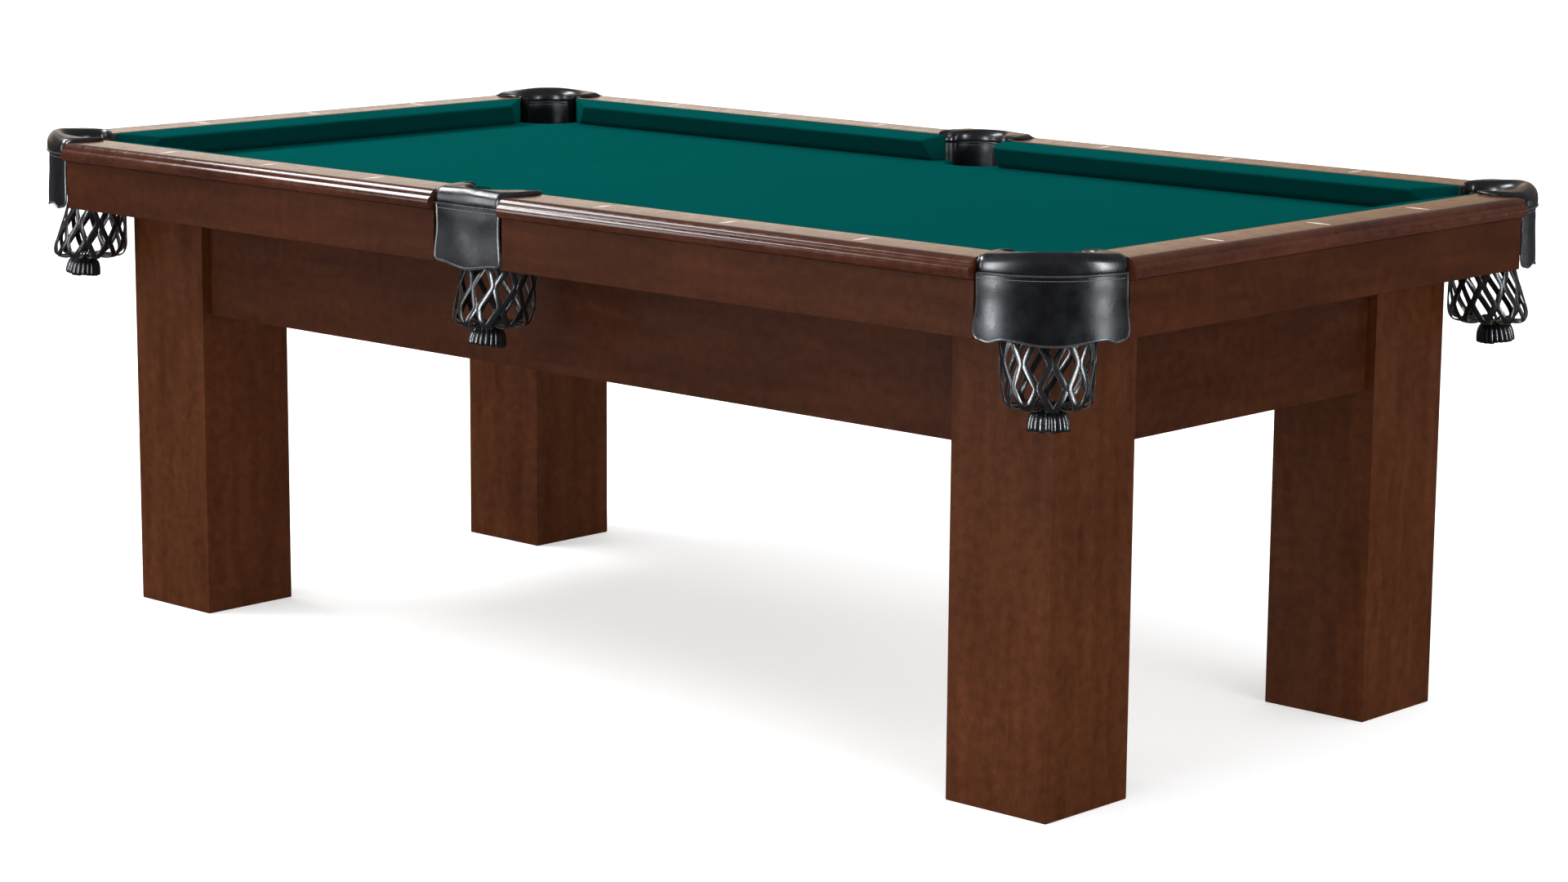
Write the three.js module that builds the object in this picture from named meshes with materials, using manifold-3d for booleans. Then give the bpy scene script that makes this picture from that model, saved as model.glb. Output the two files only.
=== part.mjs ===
// Seven-foot slate pool table with square post legs and six leather drop pockets.
// Millimetres, +Z up. The origin is on the floor at the centre of the table,
// +X runs along its length and -Y is its front long side.
//
// A rail, cushion, apron or pocket is drawn in a side frame of its own: local +Y points
// outwards from the table and local +X runs along the side. Each is then turned into place.

import * as THREE from 'three';
import { mergeVertices } from 'three/addons/utils/BufferGeometryUtils.js';
import Module from 'manifold-3d';

const wasm = await Module();
wasm.setup();

// ---- driving dimensions ---------------------------------------------------------------

const GAP = 0.3;                       // clearance between touching pieces

const HALF_PLAY_LENGTH = 1016;         // cushion nose to table centre, along X
const HALF_PLAY_WIDTH = 508;           // cushion nose to table centre, along Y

// heights
const PANEL_BOTTOM = 518;
const APRON_BOTTOM = 700;
const FRAME_BOTTOM = 700;
const FRAME_TOP = 738;
const SLATE_THICKNESS = 25.4;
const CLOTH_THICKNESS = 1;
const BED = 765;                       // upper face of the bed cloth
const RAIL_LIP_BOTTOM = 780;           // underside of the rail outside the slate
const NOSE_TOP = 803;
const NOSE_BOTTOM = 799.5;
const RAIL_TOP = 809.8;

// distances outwards from the cushion nose
const CUSHION_DEPTH = 51;
const CUSHION_FOOT = 24;               // where the cushion face meets the bed
const SLATE_EDGE = 95;
const APRON_FACE = 125;
const APRON_THICKNESS = 22;
const BULLNOSE = 137;

// pocket openings between the cushions
const SIDE_MOUTH_HALF = 80;            // at the nose
const SIDE_THROAT_HALF = 66.5;         // at the back of the cushion
const CORNER_MOUTH = 96;               // nose tip short of the corner of the play field
const CORNER_THROAT = 74;              // the same at the back of the cushion
const SIDE_RAIL_END = 75;              // rail ends beside a side pocket
const CORNER_RADIUS = 148;             // leather corner, tangent to both aprons

// base
const LEG_SIZE = 183;
const LEG_OUTER_X = 1012;
const LEG_OUTER_Y = 480;
const PANEL_RECESS = 15;
const PANEL_THICKNESS = 22;
const PANEL_END_GAP = 2;
const BEAM_WIDTH = 120;
const SLATE_JOINT = 370;

// leather pockets: distances outwards from the pocket origin, the centre of the corner radius
const COLLAR_BOTTOM = 790;
const COLLAR_TOP = 822;
const COLLAR_PROUD = 3;                // roll beyond the skirt
const COLLAR_EDGE = 7;                 // rounding of the roll
const EAR_THICKNESS = 7;
const EAR_LENGTH = 22;
const EAR_INNER = 56;                  // at the pocket's mouth
const EAR_THROAT = 80;                 // where the round throat meets the rail's end
const EAR_TIP = 80;
const EAR_OUTER = 144;
const LINER_WALL = 2.5;
const SKIRT_BOTTOM = 697;
const SKIRT_THICKNESS = 4;
const SKIRT_END_GAP = 4;
const SIDE_SKIRT_BULGE = 5;
const NET_BOTTOM = 606;
const NET_WALL = 3;
const NET_LEAN = 22;                   // the basket hangs outwards by this much
const TASSEL_BOTTOM = 572;
const TASSEL_OFFSET = 8;               // outwards from the middle of the basket's floor
const TASSEL_RADIUS = 28;

const CORNER_POCKET = { centre: 63, radius: 57, slateRadius: 60.5 };
const SIDE_POCKET = { centre: 75, radius: 51, slateRadius: 54 };

const ORIGIN_INSET = APRON_FACE - CORNER_RADIUS;
const CORNER_X = HALF_PLAY_LENGTH + ORIGIN_INSET;
const CORNER_Y = HALF_PLAY_WIDTH + ORIGIN_INSET;

const RIGHT_ANGLE = Math.PI / 2;

// ---- materials ------------------------------------------------------------------------

const stainedMaple = new THREE.MeshStandardMaterial({ color: 0x4a2a1b, roughness: 0.45 });
const railVarnish = new THREE.MeshStandardMaterial({ color: 0x5a3524, roughness: 0.2 });
const poplar = new THREE.MeshStandardMaterial({ color: 0xb08a5c, roughness: 0.7 });
const slateStone = new THREE.MeshStandardMaterial({ color: 0x55595c, roughness: 0.8 });
const cloth = new THREE.MeshStandardMaterial({ color: 0x04524f, roughness: 0.95 });
const leather = new THREE.MeshStandardMaterial({ color: 0x1d1e22, roughness: 0.4 });

// ---- helpers --------------------------------------------------------------------------

const table = new THREE.Group();

function addPart(name, geometry, material, place = new THREE.Matrix4()) {
  const mesh = new THREE.Mesh(geometry, material);
  mesh.name = name;
  mesh.applyMatrix4(place);
  table.add(mesh);
}

function outline(points) {
  return new THREE.Shape(points.map(([x, y]) => new THREE.Vector2(x, y)));
}

// A flat outline in XY, raised from z = bottom to z = top.
function slab(shape, bottom, top, curveSegments = 12) {
  const options = { depth: top - bottom, bevelEnabled: false, curveSegments };
  return new THREE.ExtrudeGeometry(shape, options).translate(0, 0, bottom);
}

// A section drawn as (outwards, up), run along local X from start to end.
function along(shape, start, end, curveSegments = 6) {
  const options = { depth: end - start, bevelEnabled: false, curveSegments };
  const geometry = new THREE.ExtrudeGeometry(shape, options);
  return geometry.rotateX(RIGHT_ANGLE).rotateZ(RIGHT_ANGLE).translate(start, 0, 0);
}

function block(x0, x1, y0, y1, z0, z1) {
  const geometry = new THREE.BoxGeometry(x1 - x0, y1 - y0, z1 - z0);
  return geometry.translate((x0 + x1) / 2, (y0 + y1) / 2, (z0 + z1) / 2);
}

function solid(geometry) {
  const bare = geometry.clone();
  bare.deleteAttribute('normal');
  bare.deleteAttribute('uv');
  const merged = mergeVertices(bare, 1e-4);
  const vertProperties = new Float32Array(merged.attributes.position.array);
  const triVerts = new Uint32Array(merged.index.array);
  return new wasm.Manifold(new wasm.Mesh({ numProp: 3, vertProperties, triVerts }));
}

function geometryOf(manifold) {
  const mesh = manifold.getMesh();
  const geometry = new THREE.BufferGeometry();
  geometry.setAttribute('position', new THREE.BufferAttribute(mesh.vertProperties, 3));
  geometry.setIndex(new THREE.BufferAttribute(mesh.triVerts, 1));
  return geometry;
}

// Turns local +Y to the outward direction, an angle from +X, and moves to (x, y).
function facing(angle, x = 0, y = 0) {
  const turn = new THREE.Matrix4().makeRotationZ(angle - RIGHT_ANGLE);
  return new THREE.Matrix4().makeTranslation(x, y, 0).multiply(turn);
}

// The four sides: the outward angle and the distance from the centre to the cushion nose.
const FRONT = { angle: -RIGHT_ANGLE, nose: HALF_PLAY_WIDTH };
const BACK = { angle: RIGHT_ANGLE, nose: HALF_PLAY_WIDTH };
const RIGHT = { angle: 0, nose: HALF_PLAY_LENGTH };
const LEFT = { angle: 2 * RIGHT_ANGLE, nose: HALF_PLAY_LENGTH };

// The six rail runs. On a long side local +X points to the table's left at the front and
// to its right at the back, so the halves swap names.
const longEnd = CORNER_X - GAP;
const shortEnd = CORNER_Y - GAP;
const longStart = SIDE_RAIL_END + GAP;
const railRuns = [
  { name: 'front_left', side: FRONT, start: longStart, end: longEnd },
  { name: 'front_right', side: FRONT, start: -longEnd, end: -longStart },
  { name: 'back_right', side: BACK, start: longStart, end: longEnd },
  { name: 'back_left', side: BACK, start: -longEnd, end: -longStart },
  { name: 'right_end', side: RIGHT, start: -shortEnd, end: shortEnd },
  { name: 'left_end', side: LEFT, start: -shortEnd, end: shortEnd },
];

// ---- base: legs, cabinet panels and slate frame ---------------------------------------

function addBase() {
  const legTop = FRAME_BOTTOM - GAP;
  const legInnerX = LEG_OUTER_X - LEG_SIZE;
  const legInnerY = LEG_OUTER_Y - LEG_SIZE;
  for (const [lengthName, sx] of [['left', -1], ['right', 1]]) {
    for (const [widthName, sy] of [['front', -1], ['back', 1]]) {
      const leg = new THREE.BoxGeometry(LEG_SIZE, LEG_SIZE, legTop);
      const x = sx * (LEG_OUTER_X - LEG_SIZE / 2);
      const y = sy * (LEG_OUTER_Y - LEG_SIZE / 2);
      leg.translate(x, y, legTop / 2);
      addPart(`leg_${widthName}_${lengthName}`, leg, stainedMaple);
    }
  }

  const panelX = legInnerX - PANEL_END_GAP;
  const panelY = legInnerY - PANEL_END_GAP;
  const faceX = LEG_OUTER_X - PANEL_RECESS;
  const faceY = LEG_OUTER_Y - PANEL_RECESS;
  const sidePanel = block(-panelX, panelX, faceY - PANEL_THICKNESS, faceY, PANEL_BOTTOM, legTop);
  const endPanel = block(-panelY, panelY, faceX - PANEL_THICKNESS, faceX, PANEL_BOTTOM, legTop);
  addPart('cabinet_panel_front', sidePanel, stainedMaple, facing(FRONT.angle));
  addPart('cabinet_panel_back', sidePanel, stainedMaple, facing(BACK.angle));
  addPart('cabinet_panel_right', endPanel, stainedMaple, facing(RIGHT.angle));
  addPart('cabinet_panel_left', endPanel, stainedMaple, facing(LEFT.angle));

  const beamInner = faceY - BEAM_WIDTH;
  const betweenBeams = beamInner - GAP;
  const longBeam = block(-faceX, faceX, beamInner, faceY, FRAME_BOTTOM, FRAME_TOP);
  const endBeam = block(-betweenBeams, betweenBeams, faceX - BEAM_WIDTH, faceX, FRAME_BOTTOM, FRAME_TOP);
  addPart('slate_beam_front', longBeam, poplar, facing(FRONT.angle));
  addPart('slate_beam_back', longBeam, poplar, facing(BACK.angle));
  addPart('slate_beam_right', endBeam, poplar, facing(RIGHT.angle));
  addPart('slate_beam_left', endBeam, poplar, facing(LEFT.angle));
  for (const [name, x] of [['left', -SLATE_JOINT], ['right', SLATE_JOINT]]) {
    const half = BEAM_WIDTH / 2;
    const beam = block(x - half, x + half, -betweenBeams, betweenBeams, FRAME_BOTTOM, FRAME_TOP);
    addPart(`slate_cross_beam_${name}`, beam, poplar);
  }
}

// ---- bed: three slates under one cloth --------------------------------------------------

// Everything that is cut away from the bed for the pockets, as one solid.
function pocketCuts(bottom, top) {
  const far = 300;
  const corner = CORNER_POCKET.centre / Math.SQRT2;
  const cuts = [];
  for (const sx of [-1, 1]) {
    for (const sy of [-1, 1]) {
      const r = CORNER_POCKET.slateRadius;
      const notch = new THREE.Shape();
      notch.moveTo(far, far);
      notch.lineTo(-r, far);
      notch.absarc(0, 0, r, 2 * RIGHT_ANGLE, 3 * RIGHT_ANGLE, false);
      notch.lineTo(far, -r);
      const quarter = Math.atan2(sy, sx) - Math.PI / 4;
      const piece = slab(notch, bottom, top, 10).rotateZ(quarter);
      cuts.push(piece.translate(sx * (CORNER_X + corner), sy * (CORNER_Y + corner), 0));
    }
  }
  for (const side of [FRONT, BACK]) {
    const r = SIDE_POCKET.slateRadius;
    const centre = CORNER_Y + SIDE_POCKET.centre;
    const notch = new THREE.Shape();
    notch.moveTo(r, centre + far);
    notch.lineTo(-r, centre + far);
    notch.absarc(0, centre, r, 2 * RIGHT_ANGLE, 4 * RIGHT_ANGLE, false);
    cuts.push(slab(notch, bottom, top, 20).applyMatrix4(facing(side.angle)));
  }
  return cuts.map(solid).reduce((sum, cut) => sum.add(cut));
}

function addBed() {
  const slateTop = BED - CLOTH_THICKNESS - GAP;
  const slateBottom = slateTop - SLATE_THICKNESS;
  const halfLength = HALF_PLAY_LENGTH + SLATE_EDGE;
  const halfWidth = HALF_PLAY_WIDTH + SLATE_EDGE;
  const cuts = pocketCuts(slateBottom - 10, BED + 10);
  const joint = GAP / 2;
  const spans = [
    ['left', -halfLength, -SLATE_JOINT - joint],
    ['middle', -SLATE_JOINT + joint, SLATE_JOINT - joint],
    ['right', SLATE_JOINT + joint, halfLength],
  ];
  for (const [name, x0, x1] of spans) {
    const whole = block(x0, x1, -halfWidth, halfWidth, slateBottom, slateTop);
    addPart(`slate_${name}`, geometryOf(solid(whole).subtract(cuts)), slateStone);
  }
  const sheet = block(-halfLength, halfLength, -halfWidth, halfWidth, BED - CLOTH_THICKNESS, BED);
  addPart('bed_cloth', geometryOf(solid(sheet).subtract(cuts)), cloth);
}

// ---- rails, cushions and aprons ---------------------------------------------------------

// Section of the hardwood rail: flat top, rounded nosing over the apron, foot on the slate.
function railSection() {
  const section = new THREE.Shape();
  const foot = BED + GAP;
  const lip = RAIL_LIP_BOTTOM;
  const middle = (lip + RAIL_TOP) / 2;
  section.moveTo(CUSHION_DEPTH, foot);
  section.lineTo(SLATE_EDGE, foot);
  section.lineTo(SLATE_EDGE, lip);
  section.lineTo(APRON_FACE + 2, lip);
  section.quadraticCurveTo(BULLNOSE, lip, BULLNOSE, middle);
  section.quadraticCurveTo(BULLNOSE, RAIL_TOP, APRON_FACE, RAIL_TOP);
  section.lineTo(CUSHION_DEPTH, RAIL_TOP);
  return section;
}

// Section of the cloth-covered rubber cushion and the sub-rail behind it.
function cushionSection() {
  const back = CUSHION_DEPTH - GAP;
  const foot = BED + GAP;
  return outline([
    [CUSHION_FOOT, foot],
    [back, foot],
    [back, RAIL_TOP - GAP],
    [2, NOSE_TOP],
    [0, NOSE_TOP - 1.5],
    [0, NOSE_BOTTOM],
  ]);
}

// Where a cushion ends at the nose and at its back, beside each sort of pocket.
function cushionEnds(position, side) {
  if (Math.abs(position) < SIDE_RAIL_END * 2) {
    return [SIDE_MOUTH_HALF, SIDE_THROAT_HALF];
  }
  const corner = side.nose === HALF_PLAY_WIDTH ? HALF_PLAY_LENGTH : HALF_PLAY_WIDTH;
  return [corner - CORNER_MOUTH, corner + CUSHION_DEPTH - CORNER_THROAT];
}

function cushionGeometry(run) {
  const full = along(cushionSection(), run.start - 50, run.end + 50);
  const [noseStart, backStart] = cushionEnds(run.start, run.side).map((d) => d * Math.sign(run.start));
  const [noseEnd, backEnd] = cushionEnds(run.end, run.side).map((d) => d * Math.sign(run.end));
  const plan = outline([
    [noseStart, 0],
    [noseEnd, 0],
    [backEnd, CUSHION_DEPTH],
    [backStart, CUSHION_DEPTH],
  ]);
  const trim = slab(plan, BED - 10, RAIL_TOP + 10);
  return geometryOf(solid(full).intersect(solid(trim)));
}

function addRails() {
  for (const run of railRuns) {
    const place = facing(run.side.angle);
    place.multiply(new THREE.Matrix4().makeTranslation(0, run.side.nose, 0));
    addPart(`rail_${run.name}`, along(railSection(), run.start, run.end), railVarnish, place);
    addPart(`cushion_${run.name}`, cushionGeometry(run), cloth, place);
    const inner = APRON_FACE - APRON_THICKNESS;
    const top = RAIL_LIP_BOTTOM - GAP;
    const apron = block(run.start, run.end, inner, APRON_FACE, APRON_BOTTOM, top);
    addPart(`apron_${run.name}`, apron, stainedMaple, place);
  }
}

// ---- leather pockets --------------------------------------------------------------------

// Section of the roll as (outwards, up), rounded over at its outer side.
function rollSection() {
  const outer = CORNER_RADIUS + COLLAR_PROUD;
  const waist = COLLAR_BOTTOM + COLLAR_EDGE;
  const shoulder = COLLAR_TOP - COLLAR_EDGE;
  return [
    [0, COLLAR_BOTTOM],
    [outer - COLLAR_EDGE / 2, COLLAR_BOTTOM],
    [outer, waist],
    [outer - 1, shoulder],
    [outer - COLLAR_EDGE / 2, COLLAR_TOP - COLLAR_EDGE / 3],
    [outer - 1.6 * COLLAR_EDGE, COLLAR_TOP],
    [0, COLLAR_TOP],
  ];
}

// Plan of the collar round a corner pocket: a crescent between the corner radius and the
// round throat, ending where the two rails end. It is wider than the roll it trims.
function cornerCollarPlan() {
  const { centre, radius } = CORNER_POCKET;
  const outer = CORNER_RADIUS * 1.2;
  const half = centre * Math.SQRT1_2;
  const reach = half + Math.sqrt(half * half - centre * centre + radius * radius);
  const end = reach * Math.SQRT1_2;
  const endAngle = Math.atan2(end - centre, end);
  const plan = new THREE.Shape();
  plan.absarc(0, 0, outer, Math.PI / 4, (3 * Math.PI) / 4, false);
  plan.absarc(0, centre, radius, Math.PI - endAngle, endAngle, true);
  return plan;
}

// The same round a side pocket: a U whose arms stand between the two rail ends.
function sideCollarPlan() {
  const { centre, radius } = SIDE_POCKET;
  const outer = CORNER_RADIUS * 1.2;
  const plan = new THREE.Shape();
  plan.moveTo(SIDE_RAIL_END, centre);
  plan.lineTo(SIDE_RAIL_END, outer);
  plan.lineTo(-SIDE_RAIL_END, outer);
  plan.lineTo(-SIDE_RAIL_END, centre);
  plan.absarc(0, centre, radius, Math.PI, 0, true);
  return plan;
}

// One leather ear, drawn from the rail's end: x runs back over the rail and y outwards.
function earPlan() {
  const root = 12;
  const ear = new THREE.Shape();
  ear.moveTo(-root, EAR_THROAT + 6);
  ear.lineTo(0, EAR_THROAT);
  ear.lineTo(0, EAR_INNER);
  ear.quadraticCurveTo(EAR_LENGTH * 0.7, EAR_INNER + 2, EAR_LENGTH, EAR_TIP);
  ear.quadraticCurveTo(EAR_LENGTH * 0.6, EAR_OUTER - 20, 0, EAR_OUTER);
  ear.lineTo(-root, EAR_OUTER - 4);
  return ear;
}

function ring(pocket, inner, outer, from, to) {
  const wall = new THREE.Shape();
  wall.absarc(0, pocket.centre, outer, from, to, false);
  wall.absarc(0, pocket.centre, inner, to, from, true);
  return wall;
}

// Leather collar over the pocket iron: roll, two ears on the rails, liner down the throat.
function collarGeometry(pocket, rolled, plan, earPlaces) {
  const trim = slab(plan, COLLAR_BOTTOM - 10, COLLAR_TOP + 10, 14);
  const earBottom = RAIL_TOP + GAP;
  let collar = solid(rolled).intersect(solid(trim));
  for (const place of earPlaces) {
    const ear = slab(earPlan(), earBottom, earBottom + EAR_THICKNESS, 5).applyMatrix4(place);
    collar = collar.add(solid(ear));
  }
  const rim = pocket.radius + LINER_WALL;
  const wall = ring(pocket, pocket.radius, rim, 0.1, Math.PI - 0.1);
  const linerBottom = FRAME_TOP + GAP;
  return geometryOf(collar.add(solid(slab(wall, linerBottom, COLLAR_BOTTOM + COLLAR_EDGE, 14))));
}

// Both ears of a pocket: the second is the first turned over, so its outline stays the same.
function earPlaces(rightPlace) {
  const flip = new THREE.Matrix4().makeRotationY(Math.PI);
  const lift = new THREE.Matrix4().makeTranslation(0, 0, 2 * (RAIL_TOP + GAP) + EAR_THICKNESS);
  return [rightPlace, lift.multiply(flip).multiply(rightPlace)];
}

function cornerSkirtPlan() {
  const gapAngle = SKIRT_END_GAP / CORNER_RADIUS;
  const from = Math.PI / 4 + gapAngle;
  const to = (3 * Math.PI) / 4 - gapAngle;
  return ring({ centre: 0 }, CORNER_RADIUS - SKIRT_THICKNESS, CORNER_RADIUS, from, to);
}

function sideSkirtPlan() {
  const half = SIDE_RAIL_END - SKIRT_END_GAP;
  const inner = CORNER_RADIUS - SKIRT_THICKNESS;
  const skirt = new THREE.Shape();
  skirt.moveTo(-half, inner);
  skirt.quadraticCurveTo(0, inner + 2 * SIDE_SKIRT_BULGE, half, inner);
  skirt.lineTo(half, CORNER_RADIUS);
  skirt.quadraticCurveTo(0, CORNER_RADIUS + 2 * SIDE_SKIRT_BULGE, -half, CORNER_RADIUS);
  return skirt;
}

// The woven basket as a closed cup with an open mouth. It leans outwards as it hangs.
function netGeometry(pocket) {
  const top = FRAME_TOP - GAP;
  const mouth = 56;
  const belly = 63;
  const points = [
    [0, NET_BOTTOM],
    [belly - 14, NET_BOTTOM],
    [belly - 4, NET_BOTTOM + 6],
    [belly, NET_BOTTOM + 20],
    [mouth + 2, SKIRT_BOTTOM],
    [mouth, top],
    [mouth - NET_WALL, top],
    [mouth + 2 - NET_WALL, SKIRT_BOTTOM],
    [belly - NET_WALL, NET_BOTTOM + 20],
    [belly - 4 - NET_WALL, NET_BOTTOM + 6 + NET_WALL],
    [belly - 14 - NET_WALL, NET_BOTTOM + NET_WALL],
    [0, NET_BOTTOM + NET_WALL],
  ];
  const profile = points.map(([r, z]) => new THREE.Vector2(r, z));
  const net = new THREE.LatheGeometry(profile, 24).rotateX(RIGHT_ANGLE);
  const slope = -NET_LEAN / (top - NET_BOTTOM);
  const lean = new THREE.Matrix4().makeShear(0, 0, 0, 0, 0, slope);
  net.translate(0, 0, -top).applyMatrix4(lean);
  return net.translate(0, pocket.centre, top);
}

// Gathered strap ends below the basket, a short bell with a narrow neck.
function tasselGeometry(pocket) {
  const neck = TASSEL_RADIUS * 0.55;
  const neckHeight = NET_BOTTOM - GAP;
  const points = [
    [0, TASSEL_BOTTOM],
    [TASSEL_RADIUS, TASSEL_BOTTOM],
    [TASSEL_RADIUS, TASSEL_BOTTOM + 12],
    [neck + 5, neckHeight - 8],
    [neck, neckHeight],
    [0, neckHeight],
  ];
  const profile = points.map(([r, z]) => new THREE.Vector2(r, z));
  const bell = new THREE.LatheGeometry(profile, 16).rotateX(RIGHT_ANGLE);
  return bell.translate(0, pocket.centre + NET_LEAN + TASSEL_OFFSET, 0);
}

function addPockets() {
  const cornerEar = new THREE.Matrix4().makeRotationZ(-Math.PI / 4);
  const sideEar = new THREE.Matrix4().makeTranslation(SIDE_RAIL_END, 0, 0);
  const profile = rollSection();
  const turned = profile.map(([r, z]) => new THREE.Vector2(r, z));
  const cornerRoll = new THREE.LatheGeometry(turned, 48).rotateX(RIGHT_ANGLE);
  const sideRoll = along(outline(profile), -CORNER_RADIUS, CORNER_RADIUS);
  const corner = {
    collar: collarGeometry(CORNER_POCKET, cornerRoll, cornerCollarPlan(), earPlaces(cornerEar)),
    skirt: slab(cornerSkirtPlan(), SKIRT_BOTTOM, COLLAR_BOTTOM - GAP, 14),
    net: netGeometry(CORNER_POCKET),
    tassel: tasselGeometry(CORNER_POCKET),
  };
  const side = {
    collar: collarGeometry(SIDE_POCKET, sideRoll, sideCollarPlan(), earPlaces(sideEar)),
    skirt: slab(sideSkirtPlan(), SKIRT_BOTTOM, COLLAR_BOTTOM - GAP, 8),
    net: netGeometry(SIDE_POCKET),
    tassel: tasselGeometry(SIDE_POCKET),
  };
  for (const [widthName, sy] of [['front', -1], ['back', 1]]) {
    for (const [lengthName, sx] of [['left', -1], ['middle', 0], ['right', 1]]) {
      const shapes = sx === 0 ? side : corner;
      const place = facing(Math.atan2(sy, sx), sx * CORNER_X, sy * CORNER_Y);
      const name = `${widthName}_${lengthName}`;
      addPart(`pocket_collar_${name}`, shapes.collar, leather, place);
      addPart(`pocket_skirt_${name}`, shapes.skirt, leather, place);
      addPart(`pocket_net_${name}`, shapes.net, leather, place);
      addPart(`pocket_tassel_${name}`, shapes.tassel, leather, place);
    }
  }
}

addBase();
addBed();
addRails();
addPockets();

export default table;
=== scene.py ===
"""Looks of the seven-foot pool table: wood, cloth, leather pockets, sights, camera and light.

Lengths below are in millimetres in a side frame or a pocket frame, and become metres in mesh().
In a side frame x runs along the side, u is the distance outwards from the cushion nose and z is
up. In a pocket frame the origin is the centre of the corner radius and o runs outwards from it.
"""

import math
import random

import bmesh
import bpy
from mathutils import Matrix, Vector, noise


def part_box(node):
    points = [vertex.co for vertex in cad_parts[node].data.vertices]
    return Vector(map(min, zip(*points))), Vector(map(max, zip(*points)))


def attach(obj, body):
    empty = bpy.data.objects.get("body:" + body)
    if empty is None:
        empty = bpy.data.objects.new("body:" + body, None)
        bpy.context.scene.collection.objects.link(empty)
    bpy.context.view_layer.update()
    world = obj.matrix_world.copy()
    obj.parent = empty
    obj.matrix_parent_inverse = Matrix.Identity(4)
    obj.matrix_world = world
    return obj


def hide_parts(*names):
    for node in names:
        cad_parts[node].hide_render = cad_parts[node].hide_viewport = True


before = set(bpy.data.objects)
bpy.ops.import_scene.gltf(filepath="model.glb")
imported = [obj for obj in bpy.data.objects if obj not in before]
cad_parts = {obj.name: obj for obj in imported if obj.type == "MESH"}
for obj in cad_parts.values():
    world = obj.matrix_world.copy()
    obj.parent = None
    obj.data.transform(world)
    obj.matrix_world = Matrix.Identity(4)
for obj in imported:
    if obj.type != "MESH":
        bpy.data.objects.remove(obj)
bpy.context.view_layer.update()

# ---- sizes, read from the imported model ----

MM = 0.001


def corner_mm(node, which, axis):
    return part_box(node)[which][axis] / MM


def heights(node):
    """Lowest and highest z of a node."""
    return [corner_mm(node, which, 2) for which in (0, 1)]


PLAY_X = corner_mm("cushion_right_end", 0, 0)
PLAY_Y = corner_mm("cushion_back_left", 0, 1)
APRON_U = corner_mm("apron_right_end", 1, 0) - PLAY_X
SLATE_U = corner_mm("slate_right", 1, 0) - PLAY_X
BED = heights("bed_cloth")[1]
SLATE_FOOT = heights("slate_left")[0]
RAIL_FOOT, RAIL_TOP = heights("rail_right_end")
LIP = 780.0
HALF_X, HALF_Y = PLAY_X + SLATE_U, PLAY_Y + SLATE_U
LINER_BOTTOM, COLLAR_TOP = heights("pocket_collar_front_right")
SKIRT_BOTTOM, WELT = heights("pocket_skirt_front_right")
NET_BOTTOM = heights("pocket_net_front_right")[0]
TASSEL_BOTTOM = heights("pocket_tassel_front_right")[0]
RADIUS = 148.0
K_X = PLAY_X + APRON_U - RADIUS
K_Y = PLAY_Y + APRON_U - RADIUS
SIDE_HALF, GAP_HALF = 75.0, 75.3
NET_LEAN = 22.0
# Throat centre and radius, radius of the slate's notch, skirt's flat width, hem cord radius.
POCKETS = {
    "corner": {"centre": 63.0, "radius": 57.0, "slate": 60.5, "skirt": 226, "hem": 2.0},
    "side": {"centre": 75.0, "radius": 51.0, "slate": 54.0, "skirt": 141, "hem": 2.4},
}
SKIRT_DROP, SKIRT_MEAN_DROP, SKIRT_THICKNESS = 93, 88, 3.0
SIDES = {
    "front": (-math.pi / 2, PLAY_Y), "back": (math.pi / 2, PLAY_Y),
    "right": (0.0, PLAY_X), "left": (math.pi, PLAY_X),
}
END_LONG = corner_mm("rail_back_right", 1, 0)
END_SHORT = corner_mm("rail_right_end", 1, 1)
RUNS = {
    "front_left": ("front", GAP_HALF, END_LONG),
    "front_right": ("front", -END_LONG, -GAP_HALF),
    "back_right": ("back", GAP_HALF, END_LONG),
    "back_left": ("back", -END_LONG, -GAP_HALF),
    "right_end": ("right", -END_SHORT, END_SHORT),
    "left_end": ("left", -END_SHORT, END_SHORT),
}

# ---- camera and light ----

CAMERA_AT = (4.1744, -4.4557, 1.4843)
CAMERA_TURN = (42.658, 10.539, 0.419)  # yaw, pitch down, roll
CAMERA_LENS = 86.55
DOME_TURN = -146


def new_object(name, data):
    obj = bpy.data.objects.new(name, data)
    bpy.context.scene.collection.objects.link(obj)
    return obj


def add_camera():
    data = bpy.data.cameras.new("camera")
    data.sensor_width, data.lens = 36.0, CAMERA_LENS
    data.clip_start, data.clip_end = 0.1, 200.0
    cam = new_object("camera", data)
    yaw, pitch, roll = map(math.radians, CAMERA_TURN)
    cam.matrix_world = (Matrix.Translation(CAMERA_AT) @ Matrix.Rotation(yaw, 4, "Z")
                        @ Matrix.Rotation(math.pi / 2 - pitch, 4, "X")
                        @ Matrix.Rotation(roll, 4, "Z"))
    bpy.context.scene.camera = cam


def new_light(name, kind, towards, at=(0, 0, 0)):
    light = new_object(name, bpy.data.lights.new(name, kind))
    light.location = at
    light.rotation_euler = Vector(towards).to_track_quat("-Z", "Y").to_euler()
    return light


def softbox(name, at, target, size, radiance, colour=(1, 1, 1)):
    light = new_light(name, "AREA", Vector(target) - Vector(at), at)
    light.data.shape = "RECTANGLE"
    light.data.size, light.data.size_y = size
    light.data.energy = radiance * math.pi * size[0] * size[1]
    light.data.color = colour
    light.visible_camera = False
    return light


def strip(*where):
    """A tall soft strip that is seen only as a highlight."""
    softbox(*where, colour=(0.90, 0.95, 1.0)).visible_diffuse = False


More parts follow.
